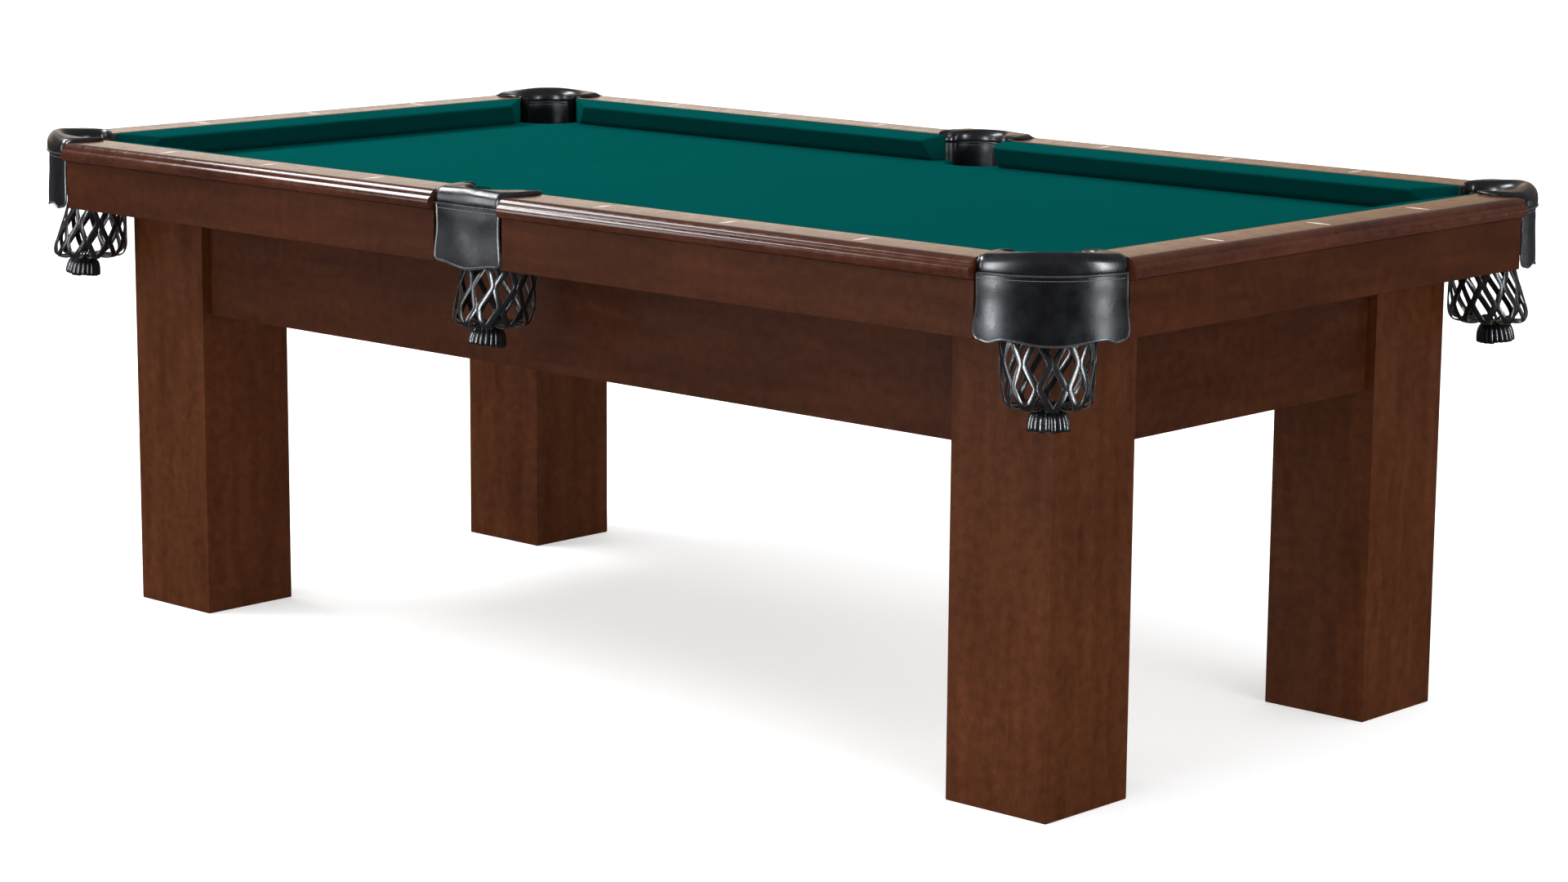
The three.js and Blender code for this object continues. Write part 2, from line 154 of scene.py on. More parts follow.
def wide_sun(name, towards, strength, spread):
    """A broad overcast light that fills shadows and leaves no mark on glossy pieces."""
    light = new_light(name, "SUN", towards)
    light.data.energy, light.data.angle = strength, math.radians(spread)
    light.visible_glossy = False


def add_lights():
    wide_sun("sky_top", (0.1, 0.1, -1), 2.9, 120)
    wide_sun("sky_front", (0.15, 1.0, -0.14), 1.50, 50)
    wide_sun("sky_side", (-1.0, 0.15, -0.14), 2.30, 50)
    softbox("softbox_left", (-3.1, -1.35, 3.6), (-0.6, -0.6, 0.8), (3.3, 0.85), 19.0)
    strip("strip_front", (0.10, -3.6, 1.30), (1.0, -0.6, 0.95), (0.45, 1.9), 41.0)
    strip("strip_side", (4.1, 0.25, 1.27), (1.1, -0.6, 0.95), (0.42, 1.9), 38.0)
    strip("strip_left", (-2.6, -3.4, 1.3), (0.0, -0.65, 0.8), (0.7, 1.9), 9.0)
    strip("strip_back", (2.6, 3.6, 0.55), (1.1, 0.6, 0.6), (0.5, 0.9), 2.0)


def fill(tree, node, inputs):
    """Link each named input to a socket, or set it to a constant."""
    for key, value in inputs.items():
        if isinstance(value, bpy.types.NodeSocket):
            tree.links.new(value, node.inputs[key])
        else:
            node.inputs[key].default_value = value
    return node


def add(tree, kind, inputs):
    return fill(tree, tree.nodes.new(f"ShaderNode{kind}"), inputs)


def ramp(tree, factor, stops):
    node = add(tree, "ValToRGB", {"Fac": factor})
    elements = node.color_ramp.elements
    while len(elements) > 1:
        elements.remove(elements[-1])
    elements[0].position, elements[0].color = stops[0][0], (*stops[0][1], 1)
    for at, colour in stops[1:]:
        elements.new(at).color = (*colour, 1)
    return node.outputs["Color"]


def ranged(tree, value, low, high, from_low=0.0, from_high=1.0, curve="LINEAR"):
    node = add(tree, "MapRange", {"Value": value, "From Min": from_low,
                                  "From Max": from_high, "To Min": low, "To Max": high})
    node.interpolation_type = curve
    return node.outputs["Result"]


def blend(tree, factor, a, b, mode="MIX"):
    node = tree.nodes.new("ShaderNodeMix")
    node.data_type = "RGBA"
    node.blend_type = mode
    a, b = ((*c, 1) if isinstance(c, tuple) else c for c in (a, b))
    return fill(tree, node, {"Factor": factor, "A": a, "B": b}).outputs["Result"]


def add_world():
    """A soft studio dome: a bright warm sweep low on the far left, dimmer all round."""
    world = bpy.data.worlds.new("studio")
    world.use_nodes = True
    tree = world.node_tree
    where = tree.nodes.new("ShaderNodeTexCoord").outputs["Generated"]
    spin = add(tree, "Mapping", {"Vector": where, "Rotation": (0, 0, math.radians(DOME_TURN))})
    spin.vector_type = "VECTOR"
    parts = add(tree, "SeparateXYZ", {"Vector": spin.outputs["Vector"]}).outputs
    around = ramp(tree, ranged(tree, parts["X"], 0, 1, -1, 1), [
        (0.0, (0.12, 0.12, 0.13)), (0.60, (0.13, 0.12, 0.12)), (0.90, (0.26, 0.19, 0.14)),
        (0.957, (0.62, 0.43, 0.29)), (0.972, (0.92, 0.72, 0.56)),
        (0.985, (1.18, 1.00, 0.83)), (1.0, (1.13, 0.98, 0.85)),
    ])
    low = ranged(tree, parts["Z"], 0, 1, -0.04, 0.08, "SMOOTHSTEP")
    high = ranged(tree, parts["Z"], 0, 1, 0.18, 0.42, "SMOOTHSTEP")
    sweep = blend(tree, low, (0.10, 0.10, 0.11), around)
    dome = blend(tree, high, sweep, (0.20, 0.20, 0.21))
    fill(tree, tree.nodes["Background"], {"Color": dome})
    bpy.context.scene.world = world


# ---- materials ----


def material(name):
    mat = bpy.data.materials.new(name)
    mat.use_nodes = True
    return mat, mat.node_tree


def finished(mat, inputs):
    fill(mat.node_tree, mat.node_tree.nodes["Principled BSDF"], inputs)
    return mat


def coordinates(tree, scale=(1, 1, 1)):
    where = tree.nodes.new("ShaderNodeTexCoord").outputs["Object"]
    return add(tree, "Mapping", {"Vector": where, "Scale": scale}).outputs["Vector"]


def noise_of(tree, vector, scale, detail=4.0, roughness=0.55, distortion=0.0):
    return add(tree, "TexNoise", {"Vector": vector, "Scale": scale, "Detail": detail,
                                  "Roughness": roughness,
                                  "Distortion": distortion}).outputs["Fac"]


def maths(tree, operation, a, b):
    node = add(tree, "Math", {0: a, 1: b})
    node.operation = operation
    return node.outputs["Value"]


def bump(tree, height, distance, strength):
    return add(tree, "Bump", {"Height": height, "Distance": distance,
                              "Strength": strength}).outputs["Normal"]


GRAIN = {"x": (1.0, 7.0, 7.0), "y": (7.0, 1.0, 7.0), "z": (7.0, 7.0, 1.0)}


def stained_wood(name, axis, dark, light, gloss=0.45, shine=0.06):
    """Dark stained maple: long soft grain, fine pores and a faint cloudy mottle."""
    mat, tree = material(name)
    along, even = coordinates(tree, GRAIN[axis]), coordinates(tree)
    grain = noise_of(tree, along, 4.5, 8, 0.6, 0.3)
    mottle = noise_of(tree, even, 60, 5, 0.65)
    middle = tuple((a + b) / 2 for a, b in zip(dark, light))
    tone = ramp(tree, grain, [(0.30, dark), (0.52, middle), (0.74, light)])
    freckle = ranged(tree, mottle, 0.80, 1.20, 0.32, 0.68)
    drift = ranged(tree, noise_of(tree, even, 3.0, 2, 0.5), 0.86, 1.12, 0.3, 0.7)
    pore = ranged(tree, noise_of(tree, along, 110, 3, 0.6), 0.82, 1.04, 0.30, 0.52)
    shade = maths(tree, "MULTIPLY", maths(tree, "MULTIPLY", freckle, drift), pore)
    return finished(mat, {
        "Base Color": blend(tree, 1.0, tone, shade, "MULTIPLY"),
        "Roughness": ranged(tree, mottle, gloss - 0.06, gloss + 0.08, 0.3, 0.7),
        "Specular IOR Level": shine,
        "Normal": bump(tree, maths(tree, "ADD", pore, grain), 0.00012, 0.5),
    })


def mottled(name, stops, cloud, rough, relief, fine=None, stretch=None):
    """A material whose colour follows one noise, and its gloss and relief a finer one."""
    mat, tree = material(name)
    even = coordinates(tree)
    tint = noise_of(tree, coordinates(tree, stretch) if stretch else even, *cloud)
    grit = noise_of(tree, even, *fine) if fine else tint
    height = maths(tree, "ADD", grit, tint) if stretch else grit
    return finished(mat, {"Base Color": ramp(tree, tint, stops),
                          "Roughness": ranged(tree, grit, *rough),
                          "Normal": bump(tree, height, *relief)})


def table_cloth(name):
    """Napped wool cloth: fine twill under short fibres, with a soft directional drift."""
    mat, tree = material(name)
    even = coordinates(tree)
    fibre = noise_of(tree, even, 900, 3, 0.7)
    nap = noise_of(tree, coordinates(tree, (5, 1, 1)), 70, 4, 0.6)
    drift = noise_of(tree, even, 2.2, 2, 0.5)
    twill = add(tree, "TexWave", {"Vector": even, "Scale": 330, "Distortion": 1.2})
    twill.bands_direction = "DIAGONAL"
    deep, pale = (tuple(c * tone for c in CLOTH_BASE) for tone in (0.84, 1.10))
    colour = blend(tree, ranged(tree, fibre, 0.0, 1.0, 0.3, 0.7), deep, pale)
    shade = maths(tree, "MULTIPLY", ranged(tree, nap, 0.93, 1.06, 0.3, 0.7),
                  ranged(tree, drift, 0.95, 1.05, 0.3, 0.7))
    height = maths(tree, "ADD", fibre, maths(tree, "MULTIPLY", twill.outputs["Fac"], 0.4))
    return finished(mat, {
        "Base Color": blend(tree, 1.0, colour, shade, "MULTIPLY"),
        "Roughness": 0.93, "Specular IOR Level": 0.0, "Sheen Weight": 0.03,
        "Sheen Roughness": 0.6, "Sheen Tint": (0.01, 0.8, 0.75, 1),
        "Normal": bump(tree, height, 0.0003, 0.55),
    })


def leather(name, base, gloss, shine, grain_size, relief):
    """Dyed leather: pebbled grain with a randomly rubbed tone; its colour is painted lighter on
    the pebble tops and darker in the hollows between them, as painted light and shade.
    """
    mat, tree = material(name)
    even = coordinates(tree)
    pebble = tree.nodes.new("ShaderNodeTexVoronoi")
    pebble.feature = "SMOOTH_F1"
    fill(tree, pebble, {"Vector": even, "Scale": 1 / grain_size, "Smoothness": 0.6})
    pebbles = pebble.outputs["Distance"]
    crease = noise_of(tree, even, 120, 4, 0.6, 0.4)
    wear = noise_of(tree, even, 34, 4, 0.55)
    colour = blend(tree, ranged(tree, wear, 0.0, 1.0, 0.38, 0.72),
                   tuple(c * 0.8 for c in base), tuple(c * 1.4 + 0.0006 for c in base))
    # Painted shade and highlight: colour darker in the hollows between pebbles and lighter on
    # their tops.
    grain = ranged(tree, pebbles, 1.1, 0.75, 0.0, 0.7)
    height = maths(tree, "SUBTRACT", maths(tree, "MULTIPLY", crease, 0.6), pebbles)
    return finished(mat, {
        "Base Color": blend(tree, 1.0, colour, grain, "MULTIPLY"),
        "Roughness": ranged(tree, wear, gloss - 0.05, gloss + 0.10, 0.3, 0.7),
        "Specular IOR Level": shine,
        "Normal": bump(tree, height, 0.0004, relief),
    })


CLOTH_BASE = (0.0004, 0.0430, 0.0400)
LEATHER_BASE = (0.0030, 0.0033, 0.0044)

# Legs, aprons and panels are the same stained maple in two copies: the legs' copy is painted
# lighter, as if lit, and the aprons' and panels' copy darker, as if shaded: painted light and
# shade.
LIT_LEG_WOOD = stained_wood("leg_maple_painted_lighter", "z", (0.045, 0.0116, 0.0026), (0.070, 0.0202, 0.0056))
SHADED_WOOD = {a: stained_wood(f"stained_maple_painted_darker_{a}", a, (0.030, 0.0070, 0.0014),
                        (0.047, 0.0122, 0.0029)) for a in "xy"}
VARNISH = {a: stained_wood(f"rail_varnish_{a}", a, (0.030, 0.0080, 0.0035),
                           (0.064, 0.0185, 0.0090), 0.15, 0.3) for a in "xy"}
STRIP_WOOD = stained_wood("strip_wood", "x", (0.16, 0.050, 0.018), (0.32, 0.115, 0.045),
                          0.4, 0.3)
TIMBER = mottled("bare_timber", [(0.3, (0.30, 0.175, 0.085)), (0.55, (0.46, 0.30, 0.16)),
                                 (0.75, (0.56, 0.39, 0.225))],
                 (9, 7, 0.6, 1.2), (0.62, 0.82), (0.0005, 0.5), (160, 2, 0.5), (1, 1, 9))
SLATE = mottled("ground_slate", [(0.3, (0.062, 0.068, 0.074)), (0.6, (0.105, 0.112, 0.118)),
                                 (0.8, (0.15, 0.155, 0.155))],
                (5, 6, 0.6, 0.8), (0.6, 0.85), (0.0003, 0.5), (420, 3, 0.6))
PEARL = mottled("sight_pearl", [(0.3, (0.66, 0.60, 0.55)), (0.55, (0.80, 0.76, 0.72)),
                                (0.75, (0.90, 0.87, 0.84))],
                (130, 4, 0.6, 1.5), (0.12, 0.24), (0.0001, 0.3))
finished(PEARL, {"Coat Weight": 0.5})
THREAD = mottled("waxed_thread", [(0.0, (0.055, 0.055, 0.062)), (1.0, (0.20, 0.20, 0.215))],
                 (1500, 2, 0.5), (0.38, 0.6), (0.0002, 0.5))
STEEL = mottled("plated_steel", [(0.3, (0.42, 0.41, 0.38)), (0.7, (0.60, 0.59, 0.56))],
                (300, 4, 0.6), (0.25, 0.45), (0.0001, 0.3))
finished(STEEL, {"Metallic": 1.0})
BED_WOOL = table_cloth("bed_wool")
CUSHION_WOOL = table_cloth("cushion_wool")
ROLL_LEATHER = leather("roll_leather", LEATHER_BASE, 0.25, 0.65, 0.0011, 0.10)
SKIRT_LEATHER = leather("skirt_leather", LEATHER_BASE, 0.27, 0.36, 0.0013, 0.25)
STRAP_LEATHER = leather("strap_leather", LEATHER_BASE, 0.20, 0.85, 0.0010, 0.2)
# The straps' cut edges are a lighter leather: partly the real raw edge, partly a painted
# highlight along the strap edges.
CUT_EDGE_HIGHLIGHT_LEATHER = leather("cut_edge_highlight_leather", (0.050, 0.044, 0.040), 0.45, 0.4, 0.0008, 0.3)
# The hem and piping cords are painted a lighter bluish grey than the black leather beside them:
# a painted highlight along the rolled edges.
EDGE_HIGHLIGHT_LEATHER = leather("edge_highlight_leather", (0.034, 0.035, 0.040), 0.24, 0.6, 0.0008, 0.2)
LINER_LEATHER = leather("liner_leather", (0.0034, 0.0034, 0.0042), 0.34, 0.4, 0.0012, 0.3)

# ---- mesh tools ----


STITCH_PITCH, STITCH_LENGTH = 3.4, 2.7


def smooth(t, low=0.0, high=1.0):
    t = min(1.0, max(0.0, (t - low) / (high - low)))
    return t * t * (3 - 2 * t)


def mix(a, b, t):
    return a + (b - a) * t


def polar(radius, angle, z=0.0, x=0.0, y=0.0):
    return Vector((x + radius * math.cos(angle), y + radius * math.sin(angle), z))


def joined(*shapes):
    """Several (points, faces) shapes as one."""
    points, faces = [], []
    for some, loops in shapes:
        start = len(points)
        points.extend(some)
        faces.extend([[i + start for i in loop] for loop in loops])
    return points, faces


def loft(rings, close_ends=True):
    """Closed rings of equally many points, joined by quads and capped at both ends."""
    n = len(rings[0])
    points = [p for ring in rings for p in ring]
    faces = []
    for i in range(len(rings) - 1):
        for j in range(n):
            k = (j + 1) % n
            faces.append([i * n + j, i * n + k, (i + 1) * n + k, (i + 1) * n + j])
    if close_ends:
        faces += [list(range(n))[::-1], list(range(len(points) - n, len(points)))]
    return points, faces


def tube(path, radius, sides=8, squash=1.0, cyclic=False):
    """A round cord along path. radius may be one number or one per point."""
    n = len(path)
    radii = radius if isinstance(radius, (list, tuple)) else [radius] * n
    rings, normal = [], None
    for i, p in enumerate(path):
        after = path[(i + 1) % n] if cyclic or i < n - 1 else p
        before = path[i - 1] if cyclic or i > 0 else p
        ahead = (after - before).normalized()
        if normal is None:
            other = Vector((0, 0, 1)) if abs(ahead.z) < 0.9 else Vector((1, 0, 0))
            normal = ahead.cross(other).normalized()
        normal = (normal - ahead * normal.dot(ahead)).normalized()
        across = ahead.cross(normal)
        turns = [2 * math.pi * k / sides for k in range(sides)]
        rings.append([p + radii[i] * (normal * math.cos(a) + across * math.sin(a) * squash)
                      for a in turns])
    if not cyclic:
        return loft(rings)
    points, faces = loft(rings + rings[:1], close_ends=False)
    return points[:n * sides], [[i % (n * sides) for i in loop] for loop in faces]


def stitches(path, radius):
    """Thread stitches laid end to end along a path."""
    shapes, carried = [], 0.0
    for a, b in zip(path, path[1:]):
        span = (b - a).length
        while carried < span:
            p = a.lerp(b, carried / span)
            d = (b - a).normalized() * STITCH_LENGTH / 2
            line = [p + d * s for s in (-1, -0.7, 0, 0.7, 1)]
            shapes.append(tube(line, [radius * s for s in (0.35, 0.9, 1, 0.9, 0.35)], 6))
            carried += STITCH_PITCH
        carried -= span
    return joined(*shapes)


def as_object(name, bm, materials, sharp):
    """A mesh as an object, smooth except at edges sharper than a limit."""
    bmesh.ops.recalc_face_normals(bm, faces=bm.faces)
    for face in bm.faces:
        face.smooth = True
    for edge in bm.edges:
        if len(edge.link_faces) == 2 and edge.calc_face_angle(0) > math.radians(sharp):
            edge.smooth = False
    data = bpy.data.meshes.new(name)
    bm.to_mesh(data)
    bm.free()
    for mat in materials:
        data.materials.append(mat)
    return new_object(name, data)


def mesh(name, shape, materials, place=Matrix(), sharp=38.0, picks=None):
    points, faces = shape
    bm = bmesh.new()
    made = [bm.verts.new(place @ (Vector(p) * MM)) for p in points]
    for loop, pick in zip(faces, picks or [0] * len(faces)):
        bm.faces.new([made[i] for i in loop]).material_index = pick
    return as_object(name, bm, materials, sharp)


def declare(obj, replaces=()):
    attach(obj, "root")
    if replaces:
        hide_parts(*replaces)
    return obj


def piece(name, shape, materials, slot, place, replaces=(), **more):
    return declare(mesh(name, shape, materials, place, **more), replaces)


def inset(profile, distance):
    """A closed outline drawn in by distance."""
    following = profile[1:] + profile[:1]
    area = sum(a[0] * b[1] - b[0] * a[1] for a, b in zip(profile, following))
    sign = 1 if area > 0 else -1
    result = []
    for before, here, after in zip(profile[-1:] + profile, profile, following):
        p = Vector(here)
        one, two = (p - Vector(before)).normalized(), (Vector(after) - p).normalized()
        normal = Vector((-(one.y + two.y), one.x + two.x)) * sign
        if normal.length > 1e-6:
            p = p + normal.normalized() * distance
        result.append((p.x, p.y))
    return result


def side_place(side):
    angle, nose = SIDES[side]
    return (Matrix.Rotation(angle - math.pi / 2, 4, "Z")
            @ Matrix.Translation((0, nose * MM, 0)))


def axis_of(side):
    return "x" if side in ("front", "back") else "y"


# ---- carried-over nodes ----


def dress(node, material, bevel, segments=2):
    """A new material and softened edges on a node that keeps its shape."""
    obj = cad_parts[node]
    for slot in obj.material_slots:
        slot.link = "OBJECT"
        slot.material = material
    weld = obj.modifiers.new("weld", "WELD")
    weld.merge_threshold = 0.00001
    rounding = obj.modifiers.new("bevel", "BEVEL")
    rounding.width, rounding.segments = bevel * MM, segments
    rounding.limit_method = "ANGLE"
    rounding.angle_limit = math.radians(40)


def dress_base():
    # The legs take the maple copy painted lighter as if lit; the panels and aprons take the copy
    # painted darker as if shaded.
    for length in ("left", "right"):
        for width in ("front", "back"):
            dress(f"leg_{width}_{length}", LIT_LEG_WOOD, 1.6, 3)
        dress(f"slate_cross_beam_{length}", TIMBER, 1.5)
    for side in SIDES:
        dress(f"cabinet_panel_{side}", SHADED_WOOD[axis_of(side)], 0.8)
        dress(f"slate_beam_{side}", TIMBER, 1.5)
    for span in ("left", "middle", "right"):
        dress(f"slate_{span}", SLATE, 0.6, 1)
    for run, (side, _, _) in RUNS.items():
        dress(f"apron_{run}", SHADED_WOOD[axis_of(side)], 1.2)


# ---- rails ----

RAIL_EDGE = [
    (115.5, 0.0), (118.5, -0.25), (121.4, -0.8), (124.0, -1.7), (126.3, -3.0), (128.2, -4.6),
    (129.5, -6.2), (130.2, -7.7), (130.5, -8.9), (130.8, -9.8), (131.5, -10.6),
    (132.6, -11.4), (133.9, -12.3), (135.1, -13.5), (136.1, -14.9), (136.7, -16.6),
    (137.0, -18.5), (136.9, -20.5), (136.3, -22.8), (135.3, -25.0), (133.9, -27.0),
    (132.2, -28.5), (130.2, -29.5), (128.0, -29.8),
]
CUSHION_FACE = [
    (49.6, -0.35), (47.5, -0.1), (40.0, -0.75), (30.0, -2.0), (20.0, -3.5), (10.0, -5.1),
    (4.5, -6.0), (2.2, -6.6), (0.9, -7.4), (0.2, -8.5), (0.0, -9.7), (0.4, -10.9),
    (1.6, -12.6), (5.0, -17.2), (10.5, -25.0), (17.5, -35.2),
]
CUSHION_BACK, CUSHION_DEPTH = 50.6, 51.0
SIDE_MOUTH_HALF, SIDE_THROAT_HALF = 80.0, 66.5
CORNER_MOUTH, CORNER_THROAT = 96.0, 74.0
STRIP_FROM, STRIP_TO = 50.9, 53.0


def rail_profile():
    top = RAIL_TOP
    return [(STRIP_TO + 0.2, RAIL_FOOT), (STRIP_TO + 0.2, top - 0.5), (STRIP_TO + 0.7, top),
            *[(u, top + dz) for u, dz in RAIL_EDGE],
            (SLATE_U + 0.2, LIP), (SLATE_U + 0.2, RAIL_FOOT)]


def bar(profile, start, end, soft):
    """A straight bar with softened ends."""
    small = inset(profile, soft)
    sections = [(small, start), (profile, start + soft), (profile, end - soft), (small, end)]
    return loft([[Vector((x, u, z)) for u, z in line] for line, x in sections])


def cushion_profile():
    top = RAIL_TOP - 0.3
    return [(24.0, RAIL_FOOT), (CUSHION_BACK, RAIL_FOOT), (CUSHION_BACK, top - 1.4),
            *[(u, top + dz) for u, dz in CUSHION_FACE]]


def cushion_ends(position, side):
    """Where a cushion ends along its side: at its nose and at its back."""
    if abs(position) < 2 * SIDE_HALF:
        return SIDE_MOUTH_HALF, SIDE_THROAT_HALF
    far = PLAY_X if axis_of(side) == "x" else PLAY_Y
    return far - CORNER_MOUTH, far + CUSHION_DEPTH - CORNER_THROAT


def cushion_shape(side, start, end):
    profile = cushion_profile()
    small, mid = inset(profile, 2.2), inset(profile, 0.7)

    def ring(line, at, pull):
        nose, back = cushion_ends(at, side)
        pull = pull if at == start else -pull
        return [Vector((mix(math.copysign(nose, at), math.copysign(back, at),
                            u / CUSHION_DEPTH) + pull, u, z)) for u, z in line]

    steps = [(small, 0.0), (mid, 0.8), (profile, 3.0)]
    return loft([ring(line, start, pull) for line, pull in steps]
                + [ring(line, end, pull) for line, pull in steps[::-1]])


SIGHT_HALF_LENGTH, SIGHT_HALF_WIDTH, SIGHT_U, SIGHT_SKEW = 21.2, 4.0, 88.0, 1.2


def sight(x):
    """A slim rhombic inlay with a softly domed face, standing just proud of the varnish."""
    base, face = RAIL_TOP + 0.02, RAIL_TOP + 0.35
    tips = [(0, -SIGHT_HALF_LENGTH), (SIGHT_HALF_WIDTH, -SIGHT_SKEW),
            (0, SIGHT_HALF_LENGTH), (-SIGHT_HALF_WIDTH, SIGHT_SKEW)]
    line = [(mix(ax, bx, t) * (1 + 0.08 * math.sin(math.pi * t)), mix(au, bu, t))
            for (ax, au), (bx, bu) in zip(tips, tips[1:] + tips[:1])
            for t in (0.0, 0.25, 0.5, 0.75)]
    rows = [(1.0, base - 0.6), (1.0, base + 0.1), (0.93, face - 0.06), (0.5, face)]
    return loft([[Vector((x + a * scale, SIGHT_U + b * scale, z)) for a, b in line]
                 for scale, z in rows])


def sight_places(start, end):
    """Sights mark the eighths of the play field's length."""
    return [k * PLAY_X / 4 for k in range(-3, 4) if start < k * PLAY_X / 4 < end]


BOLT_MARGIN, BOLT_U = 110, 72.0


def hex_bolt(x, u, z):
    """A hexagon-headed bolt with a washer, seen from below."""

    def ring(radius, height, sides=12):
        return [polar(radius, 2 * math.pi * k / sides, height, x, u) for k in range(sides)]

    def hexagon(radius, height):
        corners = ring(radius, height, 6)
        pairs = zip(corners, corners[1:] + corners[:1])
        return [p for a, b in pairs for p in (a, a.lerp(b, 0.5))]

    washer = loft([ring(11, z), ring(11.5, z - 0.4), ring(11.5, z - 1.4), ring(11, z - 1.8)])
    head = loft([hexagon(8.2, z - 1.8), hexagon(8.2, z - 7.4), ring(7.0, z - 8.2)])
    return joined(washer, head)


def bolt_places(start, end):
    count = 3 if end - start < 950 else 4
    return [mix(start + BOLT_MARGIN, end - BOLT_MARGIN, k / (count - 1)) for k in range(count)]


def strip_profile():
    top = RAIL_TOP
    return [(STRIP_FROM, top - 8), (STRIP_TO, top - 8), (STRIP_TO, top - 0.35),
            (STRIP_TO - 0.5, top - 0.05), (STRIP_FROM + 0.4, top - 0.05),
            (STRIP_FROM, top - 0.4)]


def add_rails():
    for run, (side, start, end) in RUNS.items():
        place = side_place(side)
        piece(f"rail_{run}_varnished", bar(rail_profile(), start, end, 0.7),
              [VARNISH[axis_of(side)]], "rail_varnish", place, [f"rail_{run}"], sharp=32.0)
        cushion = piece(f"cushion_{run}_covered", cushion_shape(side, start, end),
                        [CUSHION_WOOL], "cushion_cloth", place, [f"cushion_{run}"],
                        sharp=60.0)
        sights = [sight(x) for x in sight_places(start, end)]
        bolts = [hex_bolt(x, BOLT_U, SLATE_FOOT - 0.1) for x in bolt_places(start, end)]
        for name, shape, mat, sharp in (
            ("feather_strip", bar(strip_profile(), start, end, 0.3), STRIP_WOOD, 38.0),
            ("sights", joined(*sights), PEARL, 50.0),
            ("rail_bolts", joined(*bolts), STEEL, 30.0),
        ):
            piece(f"{name}_{run}", shape, [mat], "rail_varnish", place, sharp=sharp)


# ---- bed cloth ----

CLOTH_THICKNESS = 1.0
EDGE_ROLL = 3.0
CLOTH_TUCK = 2.2


ARC = 33


def kind_of(name):
    return "side" if name.endswith("middle") else "corner"


def pocket_matrix(name):
    width, length = name.split("_")
    sx = {"left": -1, "middle": 0, "right": 1}[length]
    sy = {"front": -1, "back": 1}[width]
    at = Matrix.Translation((sx * K_X * MM, sy * K_Y * MM, 0))
    return at @ Matrix.Rotation(math.atan2(sy, sx) - math.pi / 2, 4, "Z")


def run_out(place, point):
    """Where a pocket notch's straight side meets the bed's outer edge."""
    out = (place.to_3x3() @ Vector((0, 1, 0))).normalized()
    axes = zip(out, point, (HALF_X, HALF_Y))
    reach = [(math.copysign(half, d) - at) / d for d, at, half in axes if abs(d) > 0.1]
    return point + out * max(0.0, min(reach))


def cloth_outline():
    """The bed's outline, anticlockwise: (point, pocket centre for points on a pocket arc)."""
    line = []
    for name in ("front_middle", "front_right", "back_right", "back_middle", "back_left",
                 "front_left"):
        spec = POCKETS[kind_of(name)]
        r = spec["slate"] + EDGE_ROLL - CLOTH_TUCK
        place = pocket_matrix(name)
        centre = place @ Vector((0, spec["centre"] * MM, 0)) / MM
        turns = [mix(2 * math.pi, math.pi, i / (ARC - 1)) for i in range(ARC)]
        arc = [place @ (polar(r, a, y=spec["centre"]) * MM) / MM for a in turns]
        line += [(run_out(place, arc[0]), None), *[(p, centre) for p in arc],
                 (run_out(place, arc[-1]), None)]
    return line


def add_bed_cloth():
    """One cloth stretched over the slates, rolled down into the six pocket notches."""
    line = cloth_outline()
    n = len(line)
    bm = bmesh.new()

    def vert(p, z):
        return bm.verts.new(Vector((p.x, p.y, z)) * MM)

    edge = [vert(p, BED) for p, _ in line]
    low = [vert(p, BED - CLOTH_THICKNESS) for p, _ in line]
    plate = [edge[i] if c is None else vert(p + (p - c).normalized() * 6.0, BED)
             for i, (p, c) in enumerate(line)]
    bm.faces.new(plate)
    bm.faces.new(low[::-1])
    for i in range(n):
        j = (i + 1) % n
        here, there = line[i][1] is not None, line[j][1] is not None
        if not (here and there):
            bm.faces.new([edge[i], low[i], low[j], edge[j]])
        if here or there:
            bm.faces.new(list(dict.fromkeys((edge[i], edge[j], plate[j], plate[i]))))
    drops = [(EDGE_ROLL * math.sin(a), EDGE_ROLL * (1 - math.cos(a)))
             for a in map(math.radians, (22, 45, 68, 88))]
    drops += [(EDGE_ROLL, 9.0), (EDGE_ROLL, 19.0)]
    for start in range(1, n, ARC + 2):
        arc = slice(start, start + ARC)
        outer, inner = edge[arc], low[arc]
        for inward, drop in drops:
            depth = drop if drop > EDGE_ROLL else max(CLOTH_THICKNESS, drop) + 0.4
            new_out, new_in = [], []
            for p, c in line[arc]:
                away = (c - p).normalized()
                new_out.append(vert(p + away * inward, BED - drop))
                new_in.append(vert(p + away * max(0.0, inward - CLOTH_THICKNESS), BED - depth))
            for a in range(ARC - 1):
                bm.faces.new([outer[a], outer[a + 1], new_out[a + 1], new_out[a]])
                bm.faces.new([inner[a + 1], inner[a], new_in[a], new_in[a + 1]])
            for a in (0, ARC - 1):
                bm.faces.new([outer[a], new_out[a], new_in[a], inner[a]])
            outer, inner = new_out, new_in
        for a in range(ARC - 1):
            bm.faces.new([outer[a], outer[a + 1], inner[a + 1], inner[a]])
    bmesh.ops.recalc_face_normals(bm, faces=bm.faces)
    bmesh.ops.triangulate(bm, faces=[f for f in bm.faces if len(f.verts) > 4])
    obj = as_object("bed_cloth_stretched", bm, [BED_WOOL], 50.0)
    declare(obj, ["bed_cloth"])


# ---- leather pockets ----

